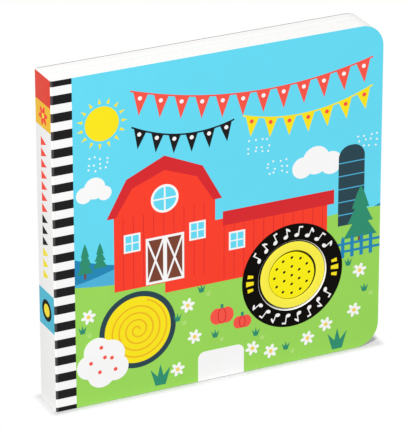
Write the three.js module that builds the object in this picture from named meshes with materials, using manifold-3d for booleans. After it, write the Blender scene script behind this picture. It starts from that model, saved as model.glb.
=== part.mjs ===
// A children's board book with a sound button. It stands on its bottom edge, with its front cover facing -Y.
// Millimetres, +Z up. The origin is in the middle of the footprint, on the surface that the book stands on.
// Most pieces are drawn from the front: x from the spine, z from the bottom edge, depth from the front face.
import * as THREE from "three";
import { mergeVertices } from "three/addons/utils/BufferGeometryUtils.js";
import Module from "manifold-3d";

const wasm = await Module();
wasm.setup();

// Driving sizes of the book.
const bookWidth = 190;
const bookHeight = 186;
const bookDepth = 20.4;
const cornerRadius = 13;
const wrapThickness = 0.3;
const frontBoardThickness = 1.9;
const spineBoardThickness = 0.9;
const backBoardThickness = 1.2;
const linerThickness = 1;
const creaseGap = 0.2;
const closingGap = 0.1;
const leafCount = 5;
const grooveWidth = 0.1;
const grooveDepth = 0.5;
const blockDepth = 9.1;

// The sound button stands in the die-cut hole. Its place is from the spine and from the bottom edge.
const buttonX = 137.6;
const buttonZ = 51;
const holeRadius = 20.9;
const turretRadius = 19.8;
const turretWall = 1.3;
const turretRecess = 0.3;
const lipThickness = 1.4;
const guideWall = 1.2;
const guideLength = 3.2;
const capRadius = 13.3;
const capGap = 0.6;
const capThickness = 1.4;
const capRecess = 0.35;
const capOffset = 0.25;
const skirtWall = 1.3;
const flangeThickness = 1.2;
const flangeOverhang = 2.4;
const grilleHoleRadius = 0.75;
const grillePitch = 5.15;
const pressPinRadius = 0.8;

// Sound module in the back block. Heights are from the button's middle.
const moduleHalfWidth = 29;
const moduleBelow = 23;
const moduleAbove = 69;
const moduleCorner = 4;
const mouldedWall = 1.2;
const fitGap = 0.3;
const shellWallShare = 0.55;
const bossRadius = 2.6;
const screwShankRadius = 0.95;
const screwHeadRadius = 1.9;
const screwHeadThickness = 0.6;
const screwHoleGap = 0.25;
const speakerRadius = 14;
const speakerFlange = 0.8;
const speakerDepth = 6;
const magnetRadius = 7;
const cradleWall = 0.8;
const cradleStand = 8;
const boardThickness = 0.8;
const boardHalfWidth = 20;
const boardBottom = 9;
const boardTop = 44;
const switchSize = 3;
const switchHeight = 2;
const leadRadius = 0.5;
const cellRadius = 5.8;
const cellThickness = 3.05;
const cellPitch = 13;
const cellCount = 3;
const cellsUp = 56;
const bayWall = 0.8;
const contactThickness = 0.2;
const doorTab = 6.4;
const doorMargin = 1.7;
const doorThickness = 1.5;

// Print on the wrap.
const bandWidth = 11.6;
const stripePitch = 9.75;
const blackShare = 0.51;
const ringRadius = 29.2;
const inkStep = 0.05;

// Planes through the book, as depths from the front face.
const coverInner = wrapThickness + frontBoardThickness;
const pagesFront = coverInner + closingGap;
const linerFront = bookDepth - blockDepth;
const pagesRear = linerFront - closingGap;
const leafPitch = (pagesRear - pagesFront + grooveWidth) / leafCount;
const coreFront = linerFront + linerThickness;
const backPrintFront = bookDepth - wrapThickness;
const backInner = backPrintFront - backBoardThickness;
const spineThickness = wrapThickness + spineBoardThickness;
const coverLeft = spineThickness + creaseGap;

// Planes and sizes in the sound module.
const turretFront = coverInner + turretRecess;
const plateFront = coreFront + creaseGap;
const plateRear = plateFront + mouldedWall;
const trayRear = backInner - fitGap;
const trayFloor = trayRear - mouldedWall;
const shellRim = plateRear + (trayFloor - plateRear) * shellWallShare;
const boardFront = trayFloor - fitGap - boardThickness;
const switchFront = boardFront - switchHeight;
const turretBore = turretRadius - turretWall;
const guideBore = capRadius + capGap;
const capFront = turretFront + capRecess;
const flangeFront = turretFront + guideLength + fitGap;
const flangeRear = flangeFront + flangeThickness;
const flangeRadius = guideBore + flangeOverhang;
const cradleFront = trayFloor - cradleStand;
const cradleRadius = speakerRadius + fitGap + cradleWall;
const switchUp = cradleRadius + fitGap + switchSize / 2;
const bayFloor = plateRear + fitGap + bayWall;
const bayHalfWidth = ((cellCount - 1) * cellPitch) / 2 + cellRadius + doorMargin;
const bayHalfHeight = cellRadius + doorMargin;
const doorFront = trayRear + creaseGap;
const doorRear = doorFront + doorThickness;
const doorScrewX = bayHalfWidth + doorTab / 2;
const doorBossRadius = doorTab / 2 - fitGap;
const screwBore = screwShankRadius + screwHoleGap;
const screwSeat = screwHeadRadius + screwHoleGap;
const screwSink = screwHeadThickness + fitGap / 2;
const screwInset = mouldedWall + fitGap + bossRadius;

const paint = {
  sky: 0x69d9f5,
  hill: 0x2a8bbb,
  grass: 0x9ad95b,
  pine: 0x2e8f6e,
  red: 0xff412c,
  darkRed: 0xd62b2f,
  coral: 0xf9574a,
  yellow: 0xffe226,
  brown: 0x7b4333,
  slate: 0x33505a,
  ink: 0x16181b,
  white: 0xfdfdfb,
  spineRed: 0xdd4c3e,
  spineYellow: 0xf0c444,
  spineCyan: 0x5ab4c8,
  board: 0xf8f7f3,
  button: 0xffe733,
  steel: 0xb9bcc0,
};

function paper(color) {
  return new THREE.MeshStandardMaterial({ color, roughness: 0.6, metalness: 0 });
}

function plastic(color) {
  return new THREE.MeshStandardMaterial({ color, roughness: 0.35, metalness: 0 });
}

function metal(color) {
  return new THREE.MeshStandardMaterial({ color, roughness: 0.35, metalness: 1 });
}

// Turns a closed geometry into a solid that can be cut and joined.
function solid(geometry) {
  const bare = geometry.index ? geometry.toNonIndexed() : geometry.clone();
  bare.deleteAttribute("normal");
  bare.deleteAttribute("uv");
  const merged = mergeVertices(bare, 1e-4);
  return new wasm.Manifold(
    new wasm.Mesh({
      numProp: 3,
      vertProperties: merged.attributes.position.array,
      triVerts: new Uint32Array(merged.index.array),
    }),
  );
}

// Turns a cut solid back into a geometry.
function geometryOf(body) {
  const mesh = body.getMesh();
  const places = new Float32Array(mesh.numVert * 3);
  for (let i = 0; i < mesh.numVert; i++) {
    places.set(mesh.vertProperties.subarray(i * mesh.numProp, i * mesh.numProp + 3), i * 3);
  }
  const indexed = new THREE.BufferGeometry();
  indexed.setAttribute("position", new THREE.BufferAttribute(places, 3));
  indexed.setIndex(new THREE.BufferAttribute(new Uint32Array(mesh.triVerts), 1));
  const geometry = indexed.toNonIndexed();
  geometry.computeVertexNormals();
  return geometry;
}

function addPiece(group, name, body, material) {
  const mesh = new THREE.Mesh(geometryOf(body), material);
  mesh.name = name;
  group.add(mesh);
}

function union(bodies) {
  return bodies.reduce((whole, body) => whole.add(body));
}

// A flat shape drawn in X and Z, carried from depth front to depth rear.
function slab(shape, front, rear, curveSegments = 4) {
  const geometry = new THREE.ExtrudeGeometry(shape, { depth: 1, bevelEnabled: false, curveSegments });
  const place = geometry.attributes.position;
  for (let i = 0; i < place.count; i++) {
    const depth = place.getZ(i) === 0 ? rear : front;
    place.setXYZ(i, place.getX(i), depth, place.getY(i));
  }
  return solid(geometry);
}

// A closed profile of [radius, depth] points turned about the Y axis.
function turned(points, segments = 28) {
  const profile = points.map(([radius, depth]) => new THREE.Vector2(radius, depth));
  const closed = [...profile, profile[0]];
  const body = solid(new THREE.LatheGeometry(closed, segments));
  return body.volume() > 0 ? body : solid(new THREE.LatheGeometry(closed.reverse(), segments));
}

// A tube, or a rod where the inner radius is 0, along the Y axis.
function tube(inner, outer, front, rear, segments = 28) {
  return turned([[inner, front], [outer, front], [outer, rear], [inner, rear]], segments);
}

function circle(x, z, radius) {
  const shape = new THREE.Shape();
  shape.absarc(x, z, radius, 0, Math.PI * 2, false);
  return shape;
}

function polygon(points) {
  return new THREE.Shape(points.map(([x, z]) => new THREE.Vector2(x, z)));
}

function rectangle(left, bottom, right, top) {
  return polygon([[left, bottom], [right, bottom], [right, top], [left, top]]);
}

function roundedRectangle(left, bottom, right, top, radius) {
  const shape = new THREE.Shape();
  shape.absarc(right - radius, top - radius, radius, 0, Math.PI / 2, false);
  shape.absarc(left + radius, top - radius, radius, Math.PI / 2, Math.PI, false);
  shape.absarc(left + radius, bottom + radius, radius, Math.PI, Math.PI * 1.5, false);
  shape.absarc(right - radius, bottom + radius, radius, Math.PI * 1.5, Math.PI * 2, false);
  return shape;
}

// The outline of every board and leaf: square at the spine, with round corners at the fore-edge.
// With an inset, the three free edges lie that far inside the board's own.
function leafOutline(left, inset = 0) {
  const radius = cornerRadius - inset;
  const cornerX = bookWidth - cornerRadius;
  const shape = new THREE.Shape();
  shape.moveTo(left, bookHeight - inset);
  shape.lineTo(left, inset);
  shape.absarc(cornerX, cornerRadius, radius, -Math.PI / 2, 0, false);
  shape.absarc(cornerX, bookHeight - cornerRadius, radius, 0, Math.PI / 2, false);
  return shape;
}

// The round hole for the button, cut from depth front to depth rear.
function buttonHole(front, rear) {
  return slab(circle(buttonX, buttonZ, holeRadius), front - 1, rear + 1, 20);
}

// One board of the book, with the die-cut hole.
function dieCutBoard(front, rear) {
  return slab(leafOutline(coverLeft), front, rear).subtract(buttonHole(front, rear));
}

const book = new THREE.Group();

// Pieces in this group are drawn from the book's corner at the spine, the bottom edge and the front face.
const sheets = new THREE.Group();
sheets.position.set(-bookWidth / 2, -bookDepth / 2, 0);
book.add(sheets);

// Pieces in this group are drawn about the button's axis.
const soundModule = new THREE.Group();
soundModule.position.set(buttonX, 0, buttonZ);
sheets.add(soundModule);

// The cap rests a little off the bore's middle, down and towards the spine.
const button = new THREE.Group();
button.position.set(-capOffset, 0, -capOffset);
soundModule.add(button);

// Front cover: a white-cored board, open round the button.
addPiece(sheets, "front_cover_board", dieCutBoard(wrapThickness, coverInner), paper(paint.board));

function flat(shape, segments) {
  return slab(shape, 0, wrapThickness, segments);
}

// White stripes across the band beside the spine, joined along the fold.
// Half a black stripe lies below the first.
function whiteStripes() {
  const seam = 0.3;
  const stripes = [flat(rectangle(coverLeft, 0, coverLeft + seam, bookHeight))];
  for (let z = (stripePitch * blackShare) / 2; z < bookHeight; z += stripePitch) {
    const top = Math.min(z + stripePitch * (1 - blackShare), bookHeight);
    stripes.push(flat(rectangle(coverLeft, z, bandWidth, top)));
  }
  return union(stripes);
}

// The picture is drawn for a cover of 190 by 186. It is stretched to the cover, and ends at the striped band.
const stretch = [bookWidth / 190, 1, bookHeight / 186];
const besideBand = flat(leafOutline(bandWidth));

function pictured(body) {
  return body.scale(stretch).intersect(besideBand);
}

// The farmyard in the picture.
const barnLeft = 34;
const barnRight = 92;
const barnMiddle = (barnLeft + barnRight) / 2;
const barnFoot = 62;
const barnEave = 104;
const barnRidge = 130;
const wingFoot = 56;
const wingRight = 158;
const wingEave = 92;
const roofRise = 4;
const roofThickness = 8;
const door = { half: 11, top: 89, sill: 0.5 };
const loft = { aboveEave: 6, radius: 7 };
const silo = { left: 164.5, right: 180, foot: 74, top: 120, radius: 7 };
const tree = { x: 178, foot: 66, width: 20, height: 30 };
const bale = { x: 47, z: 38, radius: 19, outline: 3 };
const tab = { left: 82, right: 109, top: 17, radius: 4 };
const sun = { x: 28, z: 158, radius: 9.5 };
const farHills = { height: 84, swell: 7, waves: 1.6, phase: 2.4 };
const meadow = { height: 74, swell: 8, waves: 0.75, phase: 3.5 };
const leftCloud = [[17.5, 120, 4.5], [23.5, 123, 6], [29, 119.5, 4]];
const rightCloud = [[143, 112, 6], [151, 115, 8], [160, 112, 6.5]];
const bush = [[19, 22, 7], [24, 30, 8], [31, 27, 8.5], [34, 19, 7.5], [26, 17, 8]];
const coralFlags = { start: [44, 173], end: [184, 168], sag: 10, count: 12, length: 12.5 };
const yellowFlags = { start: [108, 148], end: [184, 152], sag: 7, count: 7, length: 11 };
const blackFlags = { start: [40, 153], end: [103, 147], sag: 6, count: 6, length: 10.5 };

// Rolling ground across the cover, with a sine wave along its upper edge. It keeps its height at the button.
function hills({ height, swell, waves, phase }) {
  const steps = 16;
  const crest = [];
  for (let i = 0; i <= steps; i++) {
    const share = 1 - i / steps;
    crest.push([bookWidth * share, height + swell * Math.sin(phase + waves * Math.PI * 2 * share)]);
  }
  return flat(polygon([[0, 0], [bookWidth, 0], ...crest])).intersect(besideBand);
}

// A cloud or a bush made of round puffs, each [x, z, radius].
function puffs(list) {
  return pictured(union(list.map(([x, z, radius]) => flat(circle(x, z, radius), 6))));
}

// A string of flags that hangs in a shallow curve between two points.
function bunting({ start, end, sag, count, length }) {
  const cord = 0.9;
  const drop = (t) => start[1] + (end[1] - start[1]) * t - sag * 4 * t * (1 - t);
  const along = (t) => [start[0] + (end[0] - start[0]) * t, drop(t)];
  const line = Array.from({ length: count + 1 }, (_, i) => along(i / count));
  const upper = line.map(([x, z]) => [x, z + cord / 2]).reverse();
  const lower = line.map(([x, z]) => [x, z - cord / 2]);
  const flags = Array.from({ length: count }, (_, i) => {
    const [xa, za] = along((i + 0.14) / count);
    const [xb, zb] = along((i + 0.86) / count);
    const tip = [(xa + xb) / 2 + (zb - za) / 2, (za + zb) / 2 - length];
    return flat(polygon([[xa, za], tip, [xb, zb]]));
  });
  return pictured(union([flat(polygon([...lower, ...upper])), ...flags]));
}

// A pine whose skirts narrow towards the top.
function pine({ x, foot, width, height }) {
  const skirts = 3;
  const right = [];
  for (let i = 0; i < skirts; i++) {
    const half = (width / 2) * (1 - 0.24 * i);
    right.push([half, (height * i) / (skirts + 0.6)]);
    right.push([half * 0.45, (height * (i + 1)) / (skirts + 0.6)]);
  }
  const left = right.map(([px, pz]) => [-px, pz]).reverse();
  const outline = [...right, [0, height], ...left];
  return pictured(flat(polygon(outline.map(([px, pz]) => [x + px, foot + pz]))));
}

// A gambrel gable, from its right eave over the ridge to its left eave.
function gable(left, right, ridge) {
  const knee = (right - left) * 0.17;
  const kneeUp = (ridge - barnEave) * 0.68;
  return [
    [right, barnEave],
    [right - knee, barnEave + kneeUp],
    [barnMiddle, ridge],
    [left + knee, barnEave + kneeUp],
    [left, barnEave],
  ];
}

function barnWalls() {
  const hall = [[barnLeft, barnFoot], [barnRight, barnFoot], ...gable(barnLeft, barnRight, barnRidge)];
  const wing = rectangle(barnMiddle, wingFoot, wingRight, wingEave);
  return pictured(flat(polygon(hall)).add(flat(wing)));
}

// The roof's eaves stand out past the walls, and its underside comes down inside them.
function barnRoof() {
  const overhang = 4;
  const lap = 1;
  const outer = flat(polygon(gable(barnLeft - overhang, barnRight + overhang, barnRidge + roofRise)));
  const under = gable(barnLeft + lap, barnRight - lap, barnRidge + roofRise - roofThickness);
  return pictured(outer.subtract(slab(polygon(under), -1, 1)));
}

function wingRoof() {
  const left = barnRight + 4.5;
  const half = roofThickness / 2;
  return pictured(flat(rectangle(left, wingEave - half, wingRight + 4, wingEave + half)));
}

const barnDoor = rectangle(barnMiddle - door.half, barnFoot + door.sill, barnMiddle + door.half, door.top);
const loftWindow = circle(barnMiddle, barnEave + loft.aboveEave, loft.radius);
const siloOutline = roundedRectangle(silo.left, silo.foot, silo.right, silo.top, silo.radius);
const baleOutline = circle(bale.x, bale.z, bale.radius + bale.outline);
const tabOutline = roundedRectangle(tab.left, -2 * tab.radius, tab.right, tab.top, tab.radius);

// Fields of print, from the ground layer up: name, layer, colour and form. Layer 0 is as deep as the sheet.
const fields = [
  ["print_stripes_black", 0, paint.ink, flat(rectangle(coverLeft, 0, bandWidth, bookHeight))],
  ["print_sky", 0, paint.sky, besideBand],
  ["print_stripes_white", 1, paint.white, whiteStripes()],
  ["print_sun", 1, paint.yellow, pictured(flat(circle(sun.x, sun.z, sun.radius), 10))],
  ["print_bunting_coral", 1, paint.coral, bunting(coralFlags)],
  ["print_bunting_yellow", 1, paint.yellow, bunting(yellowFlags)],
  ["print_bunting_black", 1, paint.ink, bunting(blackFlags)],
  ["print_cloud_left", 1, paint.white, puffs(leftCloud)],
  ["print_cloud_right", 1, paint.white, puffs(rightCloud)],
  ["print_far_hills", 1, paint.hill, hills(farHills)],
  ["print_meadow", 2, paint.grass, hills(meadow)],
  ["print_silo", 3, paint.slate, pictured(flat(siloOutline, 4))],
  ["print_barn_walls", 3, paint.red, barnWalls()],
  ["print_barn_roof", 4, paint.darkRed, barnRoof()],
  ["print_wing_roof", 4, paint.darkRed, wingRoof()],
  ["print_barn_door", 4, paint.brown, pictured(flat(barnDoor))],
  ["print_loft_window", 4, paint.sky, pictured(flat(loftWindow, 8))],
  ["print_pine", 4, paint.pine, pine(tree)],
  ["print_bale_outline", 4, paint.ink, pictured(flat(baleOutline, 14))],
  ["print_button_ring", 4, paint.ink, flat(circle(buttonX, buttonZ, ringRadius), 20)],
  ["print_tab", 4, paint.white, pictured(flat(tabOutline))],
  ["print_bale", 5, paint.yellow, pictured(flat(circle(bale.x, bale.z, bale.radius), 14))],
  ["print_bush", 5, paint.white, puffs(bush)],
];

// Every field lies flush in the sheet. An upper one is thinner, so what it lies on stays whole under it.
const wholeSheet = dieCutBoard(0, wrapThickness);
const layers = fields.map(([name, layer, color, body]) => {
  const depth = wrapThickness - layer * inkStep;
  const ink = slab(rectangle(-1, -1, bookWidth + 1, bookHeight + 1), 0, depth);
  return { name, color, body: body.intersect(ink).intersect(wholeSheet) };
});
layers.forEach(({ name, color, body }, i) => {
  const shown = layers.slice(i + 1).reduce((left, upper) => left.subtract(upper.body), body);
  addPiece(sheets, name, shown, paper(color));
});

// Spine: a flat board across the whole thickness, with blocks of colour laid in its outer face.
const spineMark = { height: 54.5, outer: 6, inner: 3.6 };
const cyanHalf = 10.5;
const redHeight = 15.9;
const yellowHeight = 13.7;
const yellowTop = bookHeight - redHeight;

function spineField(bottom, top) {
  return slab(rectangle(0, bottom, wrapThickness, top), 0, bookDepth);
}

// A disc in the middle of the spine's outer face, as thick as given.
function spineDisc(height, radius, thickness) {
  const axisAlongX = tube(0, radius, 0, thickness, 24).rotate([0, 0, -90]);
  return axisAlongX.translate([0, bookDepth / 2, height]);
}

const spineRed = spineField(yellowTop, bookHeight);
const spineYellow = spineField(yellowTop - yellowHeight, yellowTop);
const spineCyan = spineField(spineMark.height - cyanHalf, spineMark.height + cyanHalf);
const spineRing = spineDisc(spineMark.height, spineMark.outer, wrapThickness - inkStep);
const spineDot = spineDisc(spineMark.height, spineMark.inner, wrapThickness - 2 * inkStep);
const spineBoard = slab(rectangle(0, 0, spineThickness, bookHeight), 0, bookDepth)
  .subtract(union([spineRed, spineYellow, spineCyan]));
addPiece(sheets, "spine_board", spineBoard, paper(paint.white));
addPiece(sheets, "spine_red_block", spineRed, paper(paint.spineRed));
addPiece(sheets, "spine_yellow_block", spineYellow, paper(paint.spineYellow));
addPiece(sheets, "spine_cyan_block", spineCyan.subtract(spineRing), paper(paint.spineCyan));
addPiece(sheets, "spine_ring", spineRing.subtract(spineDot), paper(paint.ink));
addPiece(sheets, "spine_dot", spineDot, paper(paint.yellow));

// Pages: thick leaves pressed into one block, with a thin groove round the free edges between two leaves.
function pageBlock() {
  let block = slab(leafOutline(coverLeft), pagesFront, pagesRear);
  const seen = leafOutline(coverLeft - 1, -1);
  const kept = leafOutline(coverLeft - 2, grooveDepth);
  for (let i = 1; i < leafCount; i++) {
    const rear = pagesFront + i * leafPitch;
    const groove = slab(seen, rear - grooveWidth, rear).subtract(slab(kept, rear - 1, rear + 1));
    block = block.subtract(groove);
  }
  const gutter = slab(rectangle(spineThickness, 0, coverLeft + 1, bookHeight), pagesFront, pagesRear);
  return block.subtract(buttonHole(pagesFront, pagesRear)).add(gutter);
}
addPiece(sheets, "page_block", pageBlock(), paper(paint.board));

// Back block: a printed liner, a deep core with a pocket for the sound module, and the back board.
const modulePocket = roundedRectangle(
  buttonX - moduleHalfWidth - fitGap,
  buttonZ - moduleBelow - fitGap,
  buttonX + moduleHalfWidth + fitGap,
  buttonZ + moduleAbove + fitGap,
  moduleCorner + fitGap,
);
const blockCore = slab(leafOutline(coverLeft), coreFront, backInner)
  .subtract(slab(modulePocket, coreFront - 1, backInner + 1));
addPiece(sheets, "liner_sheet", dieCutBoard(linerFront, coreFront), paper(paint.sky));
addPiece(sheets, "block_core", blockCore, paper(paint.board));

function doorOutline(gap) {
  return roundedRectangle(
    -bayHalfWidth - gap,
    cellsUp - bayHalfHeight - gap,
    bayHalfWidth + doorTab + gap,
    cellsUp + bayHalfHeight + gap,
    2 + gap,
  );
}
const doorway = slab(doorOutline(fitGap), trayRear, bookDepth + 1).translate([buttonX, 0, buttonZ]);
const backBoard = slab(leafOutline(coverLeft), backInner, backPrintFront);
const backPrint = slab(leafOutline(coverLeft), backPrintFront, bookDepth);
addPiece(sheets, "back_cover_board", backBoard.subtract(doorway), paper(paint.board));
addPiece(sheets, "back_cover_print", backPrint.subtract(doorway), paper(paint.sky));

// Places of the four screws that hold the module's halves together, driven from the back.
const screwPlaces = [-moduleBelow + screwInset, moduleAbove - screwInset].flatMap((up) => (
  [-1, 1].map((side) => [side * (moduleHalfWidth - screwInset), up])
));

function moduleOutline(inset) {
  return roundedRectangle(
    -moduleHalfWidth + inset,
    -moduleBelow + inset,
    moduleHalfWidth - inset,
    moduleAbove - inset,
    moduleCorner - inset,
  );
}

// Module shell: a moulded plate and rim, with the turret that carries the button.
function moduleShell() {
  const plate = slab(moduleOutline(0), plateFront, shellRim)
    .subtract(slab(moduleOutline(mouldedWall), plateRear, shellRim + 1))
    .subtract(tube(0, turretBore, plateFront - 1, plateRear + 1, 36));
  const turret = tube(turretBore, turretRadius, turretFront, plateRear, 36);
  const lip = tube(guideBore, turretRadius, turretFront, turretFront + lipThickness, 36);
  const guide = tube(guideBore, guideBore + guideWall, turretFront, turretFront + guideLength, 36);
  const bosses = screwPlaces.map(([x, z]) => {
    const boss = tube(0, bossRadius, plateFront, trayFloor - fitGap, 12);
    const bore = tube(0, screwBore, plateRear, trayFloor, 8);
    return boss.subtract(bore).translate([x, 0, z]);
  });
  return union([plate, turret, lip, guide, ...bosses]);
}
addPiece(soundModule, "module_shell", moduleShell(), plastic(paint.button));

// Ring on the tray that carries the speaker on an inner ledge, with a slot for the leads.
function speakerCradle() {
  const ledgeRadius = speakerRadius - speakerFlange;
  const ledge = cradleFront + speakerFlange + 2 * fitGap;
  const ring = turned([
    [ledgeRadius, trayFloor + mouldedWall / 2],
    [ledgeRadius, ledge],
    [cradleRadius - cradleWall, ledge],
    [cradleRadius - cradleWall, cradleFront],
    [cradleRadius, cradleFront],
    [cradleRadius, trayFloor + mouldedWall / 2],
  ], 32);
  const slot = rectangle(-cradleRadius - 1, -3, -magnetRadius, 3);
  return ring.subtract(slab(slot, cradleFront - 1, trayFloor));
}

function bayOutline(wall) {
  return rectangle(
    -bayHalfWidth - wall,
    cellsUp - bayHalfHeight - wall,
    bayHalfWidth + wall,
    cellsUp + bayHalfHeight + wall,
  );
}

// Module tray: the rear half, with the speaker's cradle, the battery bay and the boss for the door's screw.
function moduleTray() {
  const pan = slab(moduleOutline(0), shellRim + fitGap, trayRear)
    .subtract(slab(moduleOutline(mouldedWall), shellRim, trayFloor));
  const bay = slab(bayOutline(bayWall), bayFloor - bayWall, trayRear);
  const doorBoss = tube(0, doorBossRadius, bayFloor, trayRear, 12);
  const doorBore = tube(0, screwBore, bayFloor + bayWall, trayRear + 1, 8);
  const screwHoles = screwPlaces.map(([x, z]) => {
    const hole = tube(0, screwBore, trayFloor - 1, trayRear + 1, 8);
    return hole.add(tube(0, screwSeat, trayRear - screwSink, trayRear + 1, 12)).translate([x, 0, z]);
  });
  return union([pan, speakerCradle(), bay, doorBoss.translate([doorScrewX, 0, cellsUp])])
    .subtract(slab(bayOutline(0), bayFloor, trayRear + 1))
    .subtract(union([doorBore.translate([doorScrewX, 0, cellsUp]), ...screwHoles]));
}
addPiece(soundModule, "module_tray", moduleTray(), plastic(paint.slate));

// Places of the sound holes: one in the middle, then rings of six and twelve.
function grillePlaces() {
  const places = [[0, 0]];
  for (const ring of [1, 2]) {
    const count = ring * 6;
    for (let i = 0; i < count; i++) {
      const turn = Math.PI / 2 + (Math.PI * 2 * i) / count;
      places.push([ring * grillePitch * Math.cos(turn), ring * grillePitch * Math.sin(turn)]);
    }
  }
  return places;
}

// Button cap: a disc with a sound grille, a skirt that slides in the turret, and a flange that holds it in.
function buttonCap() {
  const edge = 0.5;
  const shell = turned([
    [0, capFront],
    [capRadius - edge, capFront],
    [capRadius, capFront + edge],
    [capRadius, flangeFront],
    [flangeRadius, flangeFront],
    [flangeRadius, flangeRear],
    [capRadius - skirtWall, flangeRear],
    [capRadius - skirtWall, capFront + capThickness],
    [0, capFront + capThickness],
  ], 36);
  const holes = grillePlaces().map(([x, z]) => (
    tube(0, grilleHoleRadius, capFront - 1, capFront + capThickness + 1, 8).translate([x, 0, z])
  ));
  const pin = tube(0, pressPinRadius, flangeFront, switchFront - 2 * fitGap, 8);
  return shell.subtract(union(holes)).add(pin.translate([0, 0, switchUp]));
}
addPiece(button, "button_cap", buttonCap(), plastic(paint.button));

// The switch's plunger lies under the cap's pin and goes down with it.
const plunger = tube(0, pressPinRadius, switchFront - fitGap, switchFront + fitGap, 8);
addPiece(button, "switch_plunger", plunger.translate([0, 0, switchUp]), plastic(paint.ink));

// Speaker: a pressed steel frame with a cone in front and a magnet behind, on the cradle's ledge.
const speakerFront = cradleFront + fitGap;
const speakerBack = speakerFront + speakerDepth;
const frameBack = speakerFront + speakerFlange;
const coneRadius = speakerRadius - 1.2;
const basketFoot = speakerBack - 2;
const speakerFrame = turned([
  [coneRadius, speakerFront],
  [speakerRadius, speakerFront],
  [speakerRadius, frameBack],
  [speakerRadius - speakerFlange - fitGap, frameBack],
  [magnetRadius + 1, basketFoot],
  [magnetRadius, basketFoot],
  [magnetRadius, basketFoot - 0.6],
  [coneRadius - 0.6, frameBack - 0.2],
]);
const speakerCone = turned([
  [0, speakerFront + 2],
  [3, speakerFront + 2],
  [coneRadius - fitGap, speakerFront],
  [coneRadius - fitGap, speakerFront + 0.3],
  [3.2, speakerFront + 2.4],
  [0, speakerFront + 2.4],
]);
const magnet = tube(0, magnetRadius - fitGap, basketFoot - 0.6, speakerBack, 24);
addPiece(soundModule, "speaker_frame", speakerFrame, metal(paint.steel));
addPiece(soundModule, "speaker_cone", speakerCone, paper(paint.slate));
addPiece(soundModule, "speaker_magnet", magnet, metal(paint.steel));

// Circuit board round the cradle's upper side, with the switch, the sound chip and a capacitor.
const circuitOutline = rectangle(-boardHalfWidth, boardBottom, boardHalfWidth, boardTop);
const circuitBoard = slab(circuitOutline, boardFront, boardFront + boardThickness)
  .subtract(tube(0, cradleRadius + fitGap, boardFront - 1, trayFloor, 32));
addPiece(soundModule, "circuit_board", circuitBoard, plastic(paint.pine));

const switchHalf = switchSize / 2;
const switchOutline = rectangle(-switchHalf, switchUp - switchHalf, switchHalf, switchUp + switchHalf);
const switchWell = tube(0, pressPinRadius + fitGap, switchFront - 1, boardFront - 0.2, 12)
  .translate([-capOffset, 0, switchUp - capOffset]);
const switchBody = slab(switchOutline, switchFront, boardFront).subtract(switchWell);
addPiece(soundModule, "tact_switch", switchBody, plastic(paint.ink));

const partsUp = 32;
const partHeight = 1;
const chipRadius = 4;
const chipAside = 9;
const capacitorAside = 8.5;
const capacitorSize = { half: 1.5, halfHeight: 2 };
const chip = turned([
  [0, boardFront - partHeight],
  [chipRadius * 0.45, boardFront - partHeight * 0.9],
  [chipRadius, boardFront],
  [0, boardFront],
], 20);
const capacitorOutline = rectangle(
  capacitorAside - capacitorSize.half,
  partsUp - capacitorSize.halfHeight,
  capacitorAside + capacitorSize.half,
  partsUp + capacitorSize.halfHeight,
);
const capacitor = slab(capacitorOutline, boardFront - partHeight, boardFront);
addPiece(soundModule, "sound_chip", chip.translate([-chipAside, 0, partsUp]), plastic(paint.ink));
addPiece(soundModule, "capacitor", capacitor, plastic(paint.brown));

// Two thin leads go from the speaker through the cradle's slot to the board.
function speakerLead(side) {
  const depth = boardFront - leadRadius - fitGap;
  const outside = -cradleRadius - 1.8 + side;
  const path = new THREE.CatmullRomCurve3([
    new THREE.Vector3(-magnetRadius - 2.5, speakerBack - 0.2, side),
    new THREE.Vector3(-cradleRadius, depth, side * 1.2),
    new THREE.Vector3(outside, depth, 5),
    new THREE.Vector3(outside, depth, boardBottom + 3),
  ]);
  const section = new THREE.Shape();
  section.absarc(0, 0, leadRadius, 0, Math.PI * 2, false);
  return solid(new THREE.ExtrudeGeometry(section, { steps: 12, extrudePath: path, curveSegments: 4 }));
}
addPiece(soundModule, "speaker_lead_left", speakerLead(-1), plastic(paint.ink));
addPiece(soundModule, "speaker_lead_right", speakerLead(1), plastic(paint.red));

// Button cells side by side in the bay, on two contact strips.
const cellsFront = bayFloor + contactThickness + fitGap / 2;
const firstCell = (-(cellCount - 1) * cellPitch) / 2;
for (let i = 0; i < cellCount; i++) {
  const step = 0.4;
  const cell = turned([
    [0, cellsFront],
    [cellRadius - 0.9, cellsFront],
    [cellRadius - 0.9, cellsFront + step],
    [cellRadius, cellsFront + step],
    [cellRadius, cellsFront + cellThickness],
    [0, cellsFront + cellThickness],
  ], 24);
  const place = [firstCell + i * cellPitch, 0, cellsUp];
  addPiece(soundModule, `button_cell_${i + 1}`, cell.translate(place), metal(paint.steel));
}
function contactStrip(left, right) {
  const half = cellRadius * 0.45;
  const outline = rectangle(left, cellsUp - half, right, cellsUp + half);
  return slab(outline, bayFloor, bayFloor + contactThickness);
}
const lastCell = -firstCell;
const reach = cellRadius * 0.6;
const longStrip = contactStrip(firstCell - reach, lastCell - cellPitch + reach);
const shortStrip = contactStrip(lastCell - reach, lastCell + reach);
addPiece(soundModule, "contact_strip_long", longStrip, metal(paint.steel));
addPiece(soundModule, "contact_strip_short", shortStrip, metal(paint.steel));

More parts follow.
